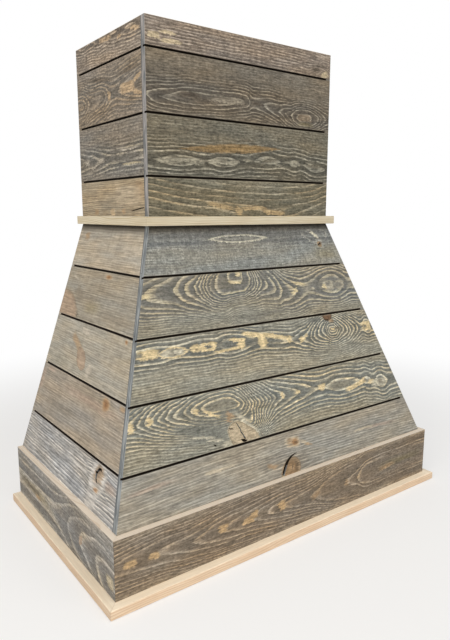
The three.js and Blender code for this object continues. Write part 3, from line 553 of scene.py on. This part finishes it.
BOARDS = {  # board: (tones, grain, marks, how strong its lines are near the heart line, away from it, fuzz, saw marks)
    "chimney_front_board_4": (("#675c52", "#7e7266", "#a99c8d", "#bcac8e"), HEART["chimney_4"], [
        ("honey", -240, 372, 16, 6), ("honey", -200, 366, 26, 5, 4), ("honey", -205, 381, 20, 4),
        ("umber", 214, 368, 24, 13, 24), ("honey", 240, 358, 15, 7, 32), ("cream", 240, 401, 26, 4, 6),
    ], 0.8, 0.8, 1.3, 1.0),
    "chimney_front_board_3": (("#5f574c", "#736a5c", "#938a79", "#978d79"), HEART["chimney_3"], [
        ("umber", -155, 268, 32, 9), ("cream", -58, 267, 54, 5, 2), ("umber", 27, 270, 17, 5),
        ("olive", 178, 237, 30, 7), ("brown", 176, 252, 27, 10),
    ], 0.95, 0.3, 1.2, 1.0),
    "chimney_front_board_2": (("#5c584c", "#706a5b", "#9c9684", "#a29a86"), HEART["chimney_2"], [
        ("umber", 0, 187, 24, 4), ("amber", -40, 167, 152, 11, 3), ("cream", -208, 133, 34, 5),
        ("cream", -164, 137, 40, 4, 2), ("cream", -138, 133, 18, 5, -8), ("cream", -84, 138, 28, 6, 3),
        ("cream", -54, 136, 26, 4.5, -3), ("cream", -38, 141, 14, 3), ("cream", 0, 144, 16, 3.5),
        ("slate", -15, 126, 36, 6), ("mist", 66, 147, 30, 4, 5), ("cream", 52, 151, 24, 2.4, 12),
        ("cream", 92, 139, 16, 2.4, -14), ("cream", 134, 147, 30, 3.5, 4), ("cream", 158, 143, 12, 4, -10),
        ("mist", 212, 141, 30, 5), ("cream", 196, 146, 16, 2.2, -10),
    ], 0.85, 0.25, 1.4, 1.0),
    "chimney_front_board_1": (("#706a58", "#827c6a", "#a79d86", "#ab9672"), HEART["chimney_1"], [
        ("honey", -76, 42, 40, 6, -10), ("honey", -24, 31, 14, 8, -40), ("honey", 12, 37, 34, 5, 3),
        ("honey", 54, 32, 18, 6, -30), ("honey", 88, 27, 34, 6, -6), ("smoke", 105, 44, 50, 7),
        ("smoke", 4, 50, 60, 6), ("smoke", -120, 30, 34, 7, -8),
    ], 0.8, 0.6, 1.3, 1.0),
    "chimney_left_board_4": (("#7a6f63", "#8e8173", "#b3a594", "#b8a082"), HEART["left_4"], [
        ("honey", -118, 399, 33, 6), ("honey", -50, 390, 11, 4), ("honey", 18, 391, 20, 5, -12),
        ("umber", -105, 402, 10, 4), ("umber", -75, 397, 9, 4), ("umber", -45, 399, 9, 4),
        ("slate", -235, 366, 40, 18),
    ], 0.9, 0.8, 1.4, 0.8),
    "chimney_left_board_3": (("#776e62", "#8b8073", "#a99a87", "#b59d7e"), HEART["left_3"], [
        ("honey", -105, 279, 8, 11), ("slate", -75, 282, 20, 9), ("honey", -20, 284, 34, 13),
        ("honey", 24, 298, 18, 5, 18), ("honey", 24, 269, 18, 5, -18), ("smoke", 28, 284, 20, 8),
        ("umber", -160, 322, 90, 6, -8), ("umber", -20, 318, 60, 5, 6),
    ], 0.65, 0.4, 1.3, 0.8),
    "chimney_left_board_2": (("#6a665e", "#80786d", "#aca394", "#b3a78c"), HEART["left_2"], [
        ("smoke", -50, 145, 96, 11), ("cream", -233, 145, 12, 9), ("cream", -156, 145, 18, 7),
        ("cream", -186, 154, 28, 3, -18), ("cream", -186, 135, 28, 3, 16), ("honey", -10, 130, 50, 2.5),
        ("cream", -20, 160, 50, 2.5),
    ], 0.75, 0.25, 1.3, 0.8),
    "chimney_left_board_1": (("#998b74", "#a3957e", "#b5a68e", "#b8a486"), HEART["left_1"], [
        ("tan", 18, 72, 28, 24), ("cream", -30, 62, 70, 26), ("tan", -192, 29, 15, 9), ("honey", -106, 29, 15, 8),
        ("smoke", -75, 30, 14, 8), ("smoke", -143, 28, 22, 8), ("tan", -52, 30, 10, 8), ("slate", -225, 78, 50, 16),
    ], 0.85, 0.85, 0.9, 0.6),
    "body_front_board_5": (("#6e6e6a", "#8b8a81", "#a6a49a", "#c4bfab"), HEART["body_5"], [
        ("slate", 0, 546, 330, 20), ("smoke", 0, 554, 330, 12), ("outline", -35, 542, 90, 11),
        ("mist", -30, 542, 50, 4), ("cream", 172, 546, 4, 8, 30), ("cream", 188, 534, 14, 2, -30),
        ("cream", 250, 546, 4, 9), ("cream", 236, 557, 14, 2, -16), ("cream", 192, 558, 12, 2.4, 14),
        ("cream", 221, 524, 15, 13), ("honey", 210, 546, 17, 4.4, -36), ("brown_knot", 222, 521, 9, 8),
        ("umber", 222, 521, 8, 7), ("umber", 206, 520, 4, 5), ("cream", -226, 525, 50, 1.4),
        # the band's painted shadow along the head of the board
        ("olive", 235, 500, 50, 22), ("pool", 0, 575.5, 2000, 20),
    ], 0.35, 0.35, 1.1, 2.4),
    "body_front_board_4": (("#706f69", "#848072", "#bab29d", "#ccbd98"), HEART["body_4"], [
        ("honey", -300, 428, 14, 5), ("honey", -68, 442, 22, 4, -4), ("honey", -56, 459, 9, 6),
        ("honey", 104, 408, 12, 6, 40), ("honey", 122, 426, 24, 4, -10), ("smoke", 18, 450, 15, 14),
        ("smoke", 226, 415, 80, 17), ("cream", 168, 410, 8, 4), ("cream", 262, 413, 19, 13),
        ("smoke", 258, 413, 15, 8), ("cream", 221, 414, 23, 14), ("smoke", 222, 417, 11, 6),
        ("honey", 207, 411, 7, 7), ("slate", 20, 365, 90, 8, 6),
    ], 0.85, 0.6, 1.0, 0.9),
    "body_front_board_3": (("#6e6f68", "#8e8979", "#c6bfaa", "#d8c499"), HEART["body_3"], [
        ("smoke", -190, 308, 165, 13), ("smoke", -30, 302, 70, 12, -4), ("honey", -317, 312, 27, 11),
        ("smoke", -335, 313, 9, 5), ("mist", -258, 309, 34, 10), ("outline", -258, 309, 40, 13),
        ("cream", -273, 309, 13, 9), ("cream", -244, 308, 12, 8), ("loop", -172, 309, 24, 10),
        ("honey", -205, 310, 13, 9), ("umber", -202, 307, 5, 3), ("honey", -84, 305, 12, 13),
        ("honey", -92, 314, 24, 4, -6), ("honey", -118, 296, 44, 3.5, 2), ("honey", -44, 319, 36, 6, -12),
        ("honey", -24, 303, 14, 17, 12), ("honey", 14, 309, 42, 5.5, -14), ("honey", 57, 296, 9, 9, 30),
        ("smoke", 14, 299, 26, 4, -10), ("smoke", 76, 293, 13, 8), ("honey", 95, 290, 8, 7, 40),
        ("honey", 109, 297, 12, 3, 34), ("honey", 330, 297, 18, 14), ("smoke", 324, 297, 8, 5),
        ("smoke", 150, 331, 26, 8), ("honey", 205, 303, 5, 2.4), ("tan", 206, 321, 9, 6),
        ("dark_knot", 194, 337, 17, 16),
    ], 0.95, 0.5, 1.0, 1.4),
    "body_front_board_2": (("#777870", "#888373", "#c4bda8", "#d8c49a"), HEART["body_2"], [
        ("smoke", -205, 136, 56, 34, -10), ("smoke", -262, 150, 40, 12, -14), ("smoke", -150, 167, 36, 10, -6),
        ("mist", -168, 184, 42, 11), ("cream", -226, 128, 30, 3, -12), ("cream", -200, 116, 24, 3, -8),
        ("honey", -196, 170, 22, 3.5, -26), ("cream", -168, 103, 17, 7), ("tan", -152, 160, 14, 7, -30),
        ("tan", -156, 152, 6, 9), ("cream", -72, 103, 9, 6), ("cream", -112, 138, 42, 6, -42),
        ("beige_knot", -128, 109, 43, 31, -42), ("honey", -232, 182, 7, 8), ("honey", -340, 184, 8, 9),
        ("honey", -382, 180, 7, 11, 8), ("honey", 4, 173, 5, 9), ("honey", 50, 172, 8, 4.5),
        ("honey", 128, 170, 13, 9), ("smoke", 88, 171, 24, 9), ("smoke", 28, 172, 14, 9),
        ("mist", 190, 165, 50, 12, -2), ("umber", -76, 105, 8, 15, 8), ("honey", 246, 154, 42, 6, 10),
        ("honey", 272, 163, 14, 5, 20), ("umber", 284, 162, 8, 5), ("honey", 302, 154, 12, 6),
        ("cream", 332, 148, 34, 11, -4), ("umber", 338, 150, 12, 7),
    ], 0.9, 0.6, 1.0, 1.1),
    "body_front_board_1": (("#878176", "#979184", "#bcb5a6", "#bfb39d"), HEART["body_1"], [
        ("honey", -199, 57, 44, 4), ("pink", -360, 62, 64, 6, 2), ("pink", 300, 44, 70, 5, -2),
        ("honey", 240, 47, 36, 2.6), ("honey", 2, 66, 22, 12, -14), ("tan", 5, 65, 16, 10, -12),
        ("rust_knot", 9, 64, 12, 11), ("umber", 9, 63, 4, 3, -20), ("honey", 38, 56, 17, 5, -24),
        ("tan", 48, 51, 12, 5, -16), ("tan", -55, 26, 22, 5, -14), ("slate", 410, 76, 40, 16),
        ("slate", 60, 12, 60, 5, 12), ("brown_knot", -16, 6, 28, 17, 54), ("umber", -4, 14, 5, 12, -10),
    ], 0.55, 0.55, 0.9, 0.8),
    "body_left_board_5": (("#9e9484", "#ada290", "#c0b5a3", "#c2b496"), straight(610, 62, 4.4), [
        # the band's painted shadow along the head of the board
        ("tan", -228, 545, 16, 12), ("cream", 20, 520, 60, 10), ("pool", 0, 575.5, 2000, 20),
    ], 0.52, 0.52, 0.7, 0.8),
    "body_left_board_4": (("#8a8070", "#9b9282", "#b3aa99", "#bfae8a"), straight(330, 60, 4.0, 0.01), [
        ("smoke", -188, 402, 30, 18, -35), ("blush", -276, 336, 112, 74), ("umber", -169, 353, 5, 12, 24),
        ("olive", -100, 378, 52, 18, 6), ("slate", 20, 366, 100, 12), ("cream", -232, 441, 20, 3, -14),
        ("rust_knot", -57, 455, 28, 10),
    ], 0.52, 0.52, 0.7, 0.8),
    "body_left_board_3": (("#969080", "#a69e8e", "#bcb2a2", "#c4b290"), straight(390, 62, 4.2, -0.02), [
        ("tan", -130, 294, 38, 11, -26), ("blush", -86, 263, 34, 19, -38), ("cream", -95, 325, 24, 7),
        ("slate", -190, 240, 60, 16), ("cream", -35, 245, 18, 14, 40), ("rust_knot", 97, 333, 12, 8),
    ], 0.52, 0.52, 0.7, 0.8),
    "body_left_board_2": (
        ("#8b8376", "#9d9385", "#b5a999", "#c0ad8c"), straight(60, 62, 4.6, 0.02, [(80, 199, 50, 40, -0.5)]), [
        ("pink", 10, 187, 160, 12), ("tan", 148, 208, 15, 6), ("pink", -266, 180, 18, 34), ("pink", -225, 208, 34, 6),
        ("slate", -120, 140, 90, 26), ("rust_knot", 80, 199, 18, 16),
    ], 0.52, 0.52, 0.7, 0.8),
    "body_left_board_1": (
        ("#8b8a87", "#9f9d9a", "#c6c1ba", "#c8bfab"), straight(-30, 60, 5.0, 0.0, [(125, 60, 80, 50, -0.5)]), [
        ("cream", 30, 60, 60, 4), ("pink", 176, 62, 34, 10), ("cream", 120, 18, 24, 26), ("slate", -120, 40, 110, 12),
        ("slate", -120, 12, 110, 8), ("slate", -60, 78, 150, 7), ("cream", 126, 62, 28, 30),
        ("cream", 126, 62, 24, 26), ("tan", 126, 69, 15, 17), ("umber", 122, 72, 8, 14),
        ("rust_knot", 129, 47, 13, 8),
    ], 1.0, 1.0, 1.1, 0.5),
    "apron_front": (("#7f7262", "#938571", "#b9ab98", "#bea179"), HEART["apron_front"], [
        ("honey", -425, 63, 15, 8), ("honey", -375, 62, 14, 7, -10), ("honey", -214, 62, 12, 9),
        ("honey", -148, 58, 14, 8), ("honey", -134, 66, 12, 8, 20), ("honey", -56, 62, 11, 14, 14),
        ("tan", 48, 55, 17, 9, 20), ("tan", 152, 55, 8, 12), ("smoke", 350, 86, 96, 8), ("smoke", 350, 32, 110, 9),
        ("olive", 360, 63, 96, 12), ("tan", 300, 58, 36, 7, 4),
    ], 0.72, 0.45, 1.1, 0.9),
    "apron_left": (("#827e78", "#97938c", "#b6b0a7", "#b8ac93"), HEART["apron_left"], [
        ("olive", -155, 49, 130, 15), ("umber", -190, 48, 90, 10), ("tan", -140, 40, 20, 6),
        ("honey", 238, 27, 17, 14), ("blush", 106, 50, 8, 14, -20),
    ], 0.75, 0.45, 1.1, 0.8),
}
for right, twin, heart in (  # the right wall doesn't show in the photograph, so it is boards from the same logs
    ("chimney_right_board_4", "chimney_left_board_4", moved(HEART["chimney_4"], 40, 0)),
    ("chimney_right_board_3", "chimney_left_board_3", moved(HEART["chimney_2"], 60, 140)),
    ("chimney_right_board_2", "chimney_left_board_2", moved(HEART["chimney_3"], -20, -100)),
    ("chimney_right_board_1", "chimney_left_board_1", moved(HEART["chimney_1"], 90, 0)),
    ("body_right_board_5", "body_left_board_5", straight(610, 62, 4.4)),
    ("body_right_board_4", "body_left_board_4", moved(HEART["body_3"], -60, 104)),
    ("body_right_board_3", "body_left_board_3", straight(200, 62, 4.2, 0.02)),
    ("body_right_board_2", "body_left_board_2", moved(HEART["body_4"], 120, -262)),
    ("body_right_board_1", "body_left_board_1", straight(120, 60, 5.0)),
    ("apron_right", "apron_left", moved(HEART["apron_front"], 60, 0)),
):
    tones, _, _, *strengths = BOARDS[twin]
    BOARDS[right] = (tones, heart, [], *strengths)


# ---- bare pine and plywood

ALONG = {  # turn in degrees that lays a board's length on the pattern's X, and the direction of its length
    "x": ((0, 0, 0), (1, 0, 0)),
    "y": ((0, 0, 90), (0, 1, 0)),
    "z": ((0, -90, 0), (0, 0, 1)),
}


def planed_pine(name, along, heart, tones, ring, seed):
    """Planed pine without a finish: satin, cream-coloured, with amber latewood lines that are close and nearly straight
    on the edges and wide on the faces, a fine fibre, and end grain a shade darker. heart is the place in m of the log's
    middle, and ring the thickness of a year in mm. Trims have a fourth tone: a painted highlight on their top faces."""
    material, add = new_material(name)
    own = add("TexCoord")
    turn, length = ALONG[along]
    turn = [math.radians(a) for a in turn]
    board = add("Mapping", own.outputs["Object"], heart, turn, MM)  # mm from the heart
    sway = streaks(add, board, (seed * 173.0, 0, seed * 31.0), (260, 60, 60), 2.0, 0.5).outputs["Color"]
    sway = add("VectorMath.SUBTRACT", sway, (0.5, 0.5, 0.5))
    spot = add("VectorMath.MULTIPLY_ADD", sway, (0, 26, 26), board)
    reach = add("VectorMath.LENGTH", add("VectorMath.MULTIPLY", spot, (0, 1, 1))).outputs["Value"]
    count = add("Math.DIVIDE", reach, ring)
    stops = [(0, 0.7), (0.1, 0.0), (0.45, 0.05), (0.85, 1.0), (1, 1.0)]
    late = add("ValToRGB", add("Math.FRACT", count), stops=stops)
    year = add("TexWhiteNoise", add("Math.FLOOR", count), noise_dimensions="1D").outputs["Value"]
    late = add("Math.MULTIPLY", late, add("MapRange", year, 0.0, 1.0, 0.35, 1.0))
    fibre = streaks(add, board, (seed * 91.0, 0, 0), (40, 1.8, 1.8), 3.0, 0.6)
    cloud = streaks(add, board, (0, seed * 57.0, 0), (90, 30, 30), 2.0, 0.5)
    light, mid, amber, *top_highlight = (linear(tone) for tone in tones)
    colour = add("Mix", late, add("Mix", add("MapRange", cloud, 0.35, 0.65), light, mid), amber)
    # painted highlight: faces that look up are mixed toward the fourth tone, standing in for light from above
    if top_highlight:
        up = add("SeparateXYZ", own.outputs["Normal"]).outputs["Z"]
        colour = add("Mix", add("MapRange", up, 0.6, 0.9, 0.0, 0.7), colour, top_highlight[0])
    colour = add("Mix", 1.0, colour, add("MapRange", fibre, 0.3, 0.7, 0.93, 1.07), blend_type="MULTIPLY")
    facing = add("VectorMath.DOT_PRODUCT", own.outputs["Normal"], length).outputs["Value"]
    end = add("MapRange", add("Math.ABSOLUTE", facing), 0.6, 0.9)
    colour = add("Mix", end, colour, add("Mix", late, mid, amber))
    relief = add("Math.ADD", fibre, late)
    finish_wood(add, colour, relief, 0.15, 0.0003, {"Roughness": 0.62, "IOR": 1.5, "Specular IOR Level": 0.4})
    return material


def birch_plywood(name, underside, ply):
    """Sanded birch plywood: smooth pale faces with a faint broad figure, and edges striped by its plies, light and
    dark. underside is the sheet's lower face in m and ply the thickness of one veneer in mm."""
    material, add = new_material(name)
    own = add("TexCoord")
    sheet = add("Mapping", own.outputs["Object"], (0, 0, underside), None, MM)
    figure = streaks(add, sheet, None, (220, 34, 34), 3.0, 0.55)
    grain = streaks(add, sheet, None, (26, 1.6, 1.6), 2.0, 0.6)
    figure = add("Math.FRACT", add("Math.MULTIPLY", figure, 9.0))
    bands = add("ValToRGB", figure, stops=[(0, 0.0), (0.5, 1.0), (0.9, 0.2), (1, 0.0)])
    face = add("Mix", bands, linear("#e0c9a0"), linear("#d4b98c"))
    layer = add("Math.DIVIDE", add("SeparateXYZ", sheet).outputs["Z"], ply)
    layer = add("Math.GREATER_THAN", add("Math.FLOORED_MODULO", layer, 2.0), 1.0)
    edge = add("Mix", layer, linear("#d9bd8e"), linear("#94704a"))
    flat = add("Math.ABSOLUTE", add("SeparateXYZ", own.outputs["Normal"]).outputs["Z"])
    colour = add("Mix", add("Math.GREATER_THAN", flat, 0.5), edge, face)
    colour = add("Mix", 1.0, colour, add("MapRange", grain, 0.3, 0.7, 0.94, 1.06), blend_type="MULTIPLY")
    finish_wood(add, colour, grain, 0.1, 0.0003, {"Roughness": 0.55, "IOR": 1.5, "Specular IOR Level": 0.4})
    return material


# ---- finishes for the CAD's solids


def dress(name, material):
    """Gives a CAD solid its finish."""
    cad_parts[name].data.materials.clear()
    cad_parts[name].data.materials.append(material)


for number, (name, (tones, grain, marks, *strengths)) in enumerate(BOARDS.items()):
    wall, _, board = name.partition("_board_")
    grooves = GROOVES[wall.split("_")[0]]
    edges = grooves[int(board or 1) - 1], grooves[int(board or 1)]
    dress(name, stained_pine("stained_pine_" + name, wall, edges, tones, grain, marks, *strengths, number + 1))

# The fourth tone of each trim is a painted highlight for its top faces.
LEDGE = ("#f2dbbe", "#ebd0b1", "#dcb893", "#fff2da")
LEDGE_SIDE = ("#dcc7ad", "#d6bda1", "#c7a685", "#fff2da")
BAND = ("#dcd2ba", "#d2c5ab", "#bba981", "#e6dcc6")
FRAME = ("#dcc39a", "#d0b285", "#b58d5c")
for number, (name, along, heart, tones, ring) in enumerate((
    ("ledge_front", "x", (0, -0.29, -0.04), LEDGE, 5.0),
    ("ledge_left", "y", (-0.49, 0, -0.05), LEDGE_SIDE, 5.0),
    ("ledge_right", "y", (0.49, 0, -0.05), LEDGE_SIDE, 5.0),
    ("band_front", "x", (0, -0.09, 0.65), BAND, 4.0),
    ("band_left", "y", (-0.29, 0, 0.65), BAND, 4.0),
    ("band_right", "y", (0.29, 0, 0.65), BAND, 4.0),
    ("base_rail_front", "x", (0, -0.21, -0.02), FRAME, 6.0),
    ("base_rail_left", "y", (-0.41, 0, -0.01), FRAME, 6.0),
    ("base_rail_right", "y", (0.41, 0, 0.17), FRAME, 6.0),
    ("base_rail_wall", "x", (0, 0.24, -0.03), FRAME, 6.0),
    ("body_post_front_left", "z", (-0.36, -0.1, 0), FRAME, 5.0),
    ("body_post_front_right", "z", (0.36, -0.1, 0), FRAME, 5.0),
    ("body_post_back_left", "z", (-0.36, 0.3, 0), FRAME, 5.0),
    ("body_post_back_right", "z", (0.36, 0.3, 0), FRAME, 5.0),
    ("body_stud_front", "z", (0.04, -0.2, 0), FRAME, 5.0),
    ("chimney_post_front_left", "z", (-0.2, 0.0, 0), FRAME, 5.0),
    ("chimney_post_front_right", "z", (0.2, 0.0, 0), FRAME, 5.0),
    ("chimney_post_back_left", "z", (-0.2, 0.3, 0), FRAME, 5.0),
    ("chimney_post_back_right", "z", (0.2, 0.3, 0), FRAME, 5.0),
    ("top_rail_front", "x", (0, -0.01, 1.0), FRAME, 6.0),
    ("top_rail_left", "y", (-0.2, 0, 1.0), FRAME, 6.0),
    ("top_rail_right", "y", (0.2, 0, 1.0), FRAME, 6.0),
    ("wall_cleat", "x", (0, 0.31, 0.98), FRAME, 7.0),
)):
    dress(name, planed_pine("planed_pine_" + name, along, heart, tones, ring, number + 1))
PLIES = 9
for name in ("base_deck", "neck_plate"):
    low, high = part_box(name)
    dress(name, birch_plywood("birch_plywood_" + name, low[2], (high[2] - low[2]) * 1000 / PLIES))

# ---- drying checks in the knots, and stopped groove ends


def stand_on(wall):
    """Takes the active object, made in m with X along the boards, Y up and Z out, to its place on a wall's face."""
    place, turn = FACES[wall]
    bpy.context.object.location = place
    bpy.context.object.rotation_euler = [math.radians(a) for a in turn]
    bpy.ops.object.transform_apply()


def face_outwards():
    """Turns all faces of the mesh in edit mode outwards."""
    bpy.ops.mesh.select_all(action="SELECT")
    bpy.ops.mesh.normals_make_consistent(inside=False)


def check_cutter(wall, stations):
    """A closed wedge that runs along a drying check and tapers out at its ends. A station is U, V, width and depth in
    mm."""
    stations = [[size / 1000 for size in station] for station in stations]
    (u, v, width, depth), (next_u, next_v, *_) = stations[:2]
    heading = math.atan2(next_v - v, next_u - u)
    bpy.ops.mesh.primitive_circle_add(
        vertices=6, radius=1, fill_type="NGON", location=(u, v, 0), rotation=(math.pi / 2, 0, heading + math.pi / 2)
    )
    cutter = bpy.context.object
    cutter.scale = (width / 2, depth, 1)
    bpy.ops.object.transform_apply()
    bpy.ops.object.mode_set(mode="EDIT")
    for i in range(1, len(stations)):
        (old_u, old_v, old_width, old_depth), (u, v, width, depth) = stations[i - 1 : i + 1]
        bpy.ops.mesh.extrude_region_move(TRANSFORM_OT_translate={"value": (u - old_u, v - old_v, 0)})
        wider = width / old_width
        bpy.ops.transform.resize(value=(wider, wider, depth / old_depth), center_override=(u, v, 0))
        if i + 1 < len(stations):
            turned = math.atan2(stations[i + 1][1] - v, stations[i + 1][0] - u)
            bend = (turned - heading + math.pi) % (2 * math.pi) - math.pi
            bpy.ops.transform.rotate(value=-bend, orient_axis="Z", center_override=(u, v, 0))
            heading = turned
    face_outwards()
    bpy.ops.object.mode_set(mode="OBJECT")
    stand_on(wall)
    return cutter


CHECKS = {  # board: its checks, as stations of U, V, width and depth in mm
    "body_front_board_2": [
        [(-140, 143, 0.8, 1), (-136, 136, 2.2, 3), (-134, 130, 2.6, 5), (-131, 126, 2.4, 5), (-131, 119, 3.2, 6),
         (-127, 113, 3, 6), (-125, 107, 4.2, 7), (-122, 103, 3, 5)],
        [(-134, 104, 2, 2), (-130, 101, 6.5, 5), (-126, 100, 8, 6), (-122, 99, 5, 4), (-118, 99, 1.5, 2)],
        [(-161, 133, 1, 1), (-157, 131, 3, 2), (-151, 130, 2.6, 2), (-147, 128, 0.8, 1)],
        [(-205, 109, 1, 1), (-201, 106, 4.4, 2.5), (-197, 104, 1.4, 1)],
    ],
    "body_front_board_1": [
        [(-43, -3, 6, 8), (-39, 6, 8, 9), (-33, 15, 9.4, 9), (-26, 24, 9, 9), (-18, 31, 7, 8), (-8, 37, 5, 6),
         (3, 40.5, 2.6, 3), (11, 41, 0.8, 1)],
        [(-14, 7, 0.8, 0.8), (-10, 14, 2.4, 1.6), (-6, 22, 0.8, 0.8)],
    ],
    "body_left_board_1": [
        [(137, 78, 2, 2), (131, 82, 5.6, 5), (124, 81, 7, 7), (119, 75, 8, 8), (117, 68, 7.4, 8), (119, 61, 6.4, 6),
         (124, 56, 4.4, 4), (130, 53, 1.4, 1.5)],
        [(108, 74, 1, 1), (113, 72, 5, 5), (118, 70, 6, 5)],
    ],
    "chimney_left_board_1": [
        [(-18, 31, 0.8, 1), (-6, 32, 2.4, 3), (10, 34, 2.6, 4), (26, 36, 2.4, 4), (36, 37, 2, 3), (41, 38, 1.4, 2)],
    ],
    "body_front_board_5": [
        [(214, 519, 0.8, 1), (218, 520, 3, 3), (223, 523, 3.6, 3), (226, 527, 1, 1)],
    ],
    "body_front_board_3": [
        [(180, 335, 0.8, 1), (184, 330, 2, 3), (190, 327, 2.2, 3), (197, 329, 1.8, 3), (202, 334, 0.8, 1)],
    ],
}
for name, checks in CHECKS.items():
    cutters = [check_cutter(name.partition("_board_")[0], stations) for stations in checks]
    bpy.ops.object.select_all(action="DESELECT")
    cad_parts[name].select_set(True)
    bpy.context.view_layer.objects.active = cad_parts[name]
    bpy.ops.object.duplicate()
    board = bpy.context.object
    board.name = name + "_with_checks"
    bpy.ops.object.mode_set(mode="EDIT")
    bpy.ops.mesh.select_all(action="SELECT")
    bpy.ops.mesh.remove_doubles(threshold=0.00001)
    bpy.ops.object.mode_set(mode="OBJECT")
    for cutter in cutters:
        cut = board.modifiers.new("check", "BOOLEAN")
        cut.operation = "DIFFERENCE"
        cut.solver = "EXACT"
        cut.object = cutter
        bpy.ops.object.modifier_apply(modifier=cut.name)
        bpy.data.objects.remove(cutter)
    bpy.ops.object.shade_flat()
    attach(board, "root")
    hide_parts(name)

PLUG = (0.018, 0.0041, 0.0078)  # length, width and depth in m of what closes a groove, without its inner slope
SLANT = (0.004, 0.0022)  # length and fall in m of that slope, which the round blade left
SUNK = 0.0002  # m that a plug lies under the boards' faces
SEAT_GAP = 0.0003  # m between the CAD's solids


def groove_stops(wall, side, reach, tones, number):
    """The ends of a wall's grooves, where the saw stopped short of the board's end on one side (-1 or 1 along the
    boards), as one piece: plugs with a sloping inner end. reach gives the wall's half width at a height, in mm."""
    plugs = []
    for height in GROOVES[wall.split("_")[0]][1:-1]:
        bpy.ops.object.select_all(action="DESELECT")
        if plugs:
            plugs[0].select_set(True)
            bpy.context.view_layer.objects.active = plugs[0]
            bpy.ops.object.duplicate()
            bpy.context.object.location = (side * (reach(height) - reach(first)) / 1000, (height - first) / 1000, 0)
        else:
            first = height
            middle = (side * (reach(height) - 3) / 1000, height / 1000, -SUNK - PLUG[2] / 2)
            bpy.ops.mesh.primitive_cube_add(size=1, location=middle)
            bpy.context.object.scale = PLUG
            bpy.ops.object.transform_apply()
            bpy.ops.object.mode_set(mode="EDIT")
            bpy.ops.mesh.select_mode(type="FACE")
            bpy.ops.mesh.select_all(action="DESELECT")
            bpy.ops.object.mode_set(mode="OBJECT")
            for face in bpy.context.object.data.polygons:
                face.select = face.normal.x * side < -0.9
            bpy.ops.object.mode_set(mode="EDIT")
            bpy.ops.mesh.extrude_region_move(TRANSFORM_OT_translate={"value": (-side * SLANT[0], 0, -SLANT[1])})
            bpy.ops.transform.resize(value=(1, 0.9, 0.45), center_override=(0, height / 1000, -SUNK - PLUG[2]))
            bpy.ops.mesh.select_all(action="SELECT")
            bpy.ops.mesh.bevel(offset=0.0004, segments=2, affect="EDGES")
            bpy.ops.mesh.normals_make_consistent(inside=False)
            bpy.ops.object.mode_set(mode="OBJECT")
        plugs.append(bpy.context.object)
    for plug in plugs:
        plug.select_set(True)
    bpy.context.view_layer.objects.active = plugs[0]
    bpy.ops.object.transform_apply()
    bpy.ops.object.join()
    piece = bpy.context.object
    piece.name = wall + "_groove_stops"
    stand_on(wall)
    if wall.endswith("front"):  # flush with the ends of the front boards, in the side wall's plane
        lean = math.radians(SLOPE if wall == "body_front" else 0)
        edge = (BODY_SIDE if wall == "body_front" else CHIMNEY_SIDE, 0, BODY_FOOT + SEAT_GAP)
        out = (math.cos(lean), 0, math.sin(lean))
    else:  # flush with the boards' ends at the kitchen wall
        edge, out = (0, BACK, 0), (0, 1, 0)
    bpy.ops.object.mode_set(mode="EDIT")
    bpy.ops.mesh.select_all(action="SELECT")
    bpy.ops.mesh.bisect(plane_co=edge, plane_no=out, use_fill=True, clear_outer=True)
    face_outwards()
    bpy.ops.object.mode_set(mode="OBJECT")
    bpy.ops.object.shade_smooth_by_angle(angle=math.radians(35))
    grain = {**straight(900, 60, 4.4), "plug": True}
    name = "stained_pine_" + piece.name
    piece.data.materials.append(stained_pine(name, wall, NO_GROOVE, tones, grain, (), 0.5, 0.5, 0.8, 0.8, number))
    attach(piece, "root")


LEAN = 0.3218  # mm that the body's half width shrinks for each mm up its face
FRONT_STOPS = ("#7a7a74", "#858176", "#a09a8b", "#a09a8b")
CHIMNEY_STOPS = ("#7c7266", "#8b8173", "#a69a88", "#a69a88")
BODY_STOPS = ("#979083", "#a39b8d", "#b8ae9f", "#b8ae9f")
groove_stops("chimney_front", 1, lambda height: CHIMNEY_SIDE * 1000, ("#6f695e", "#7d766a", "#968d7d", "#968d7d"), 41)
groove_stops("body_front", 1, lambda height: BODY_SIDE * 1000 - LEAN * height, FRONT_STOPS, 42)
groove_stops("chimney_left", -1, lambda height: BACK * 1000, CHIMNEY_STOPS, 43)
groove_stops("body_left", -1, lambda height: BACK * 1000, BODY_STOPS, 44)
groove_stops("chimney_right", 1, lambda height: BACK * 1000, CHIMNEY_STOPS, 45)
groove_stops("body_right", 1, lambda height: BACK * 1000, BODY_STOPS, 46)

low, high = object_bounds()
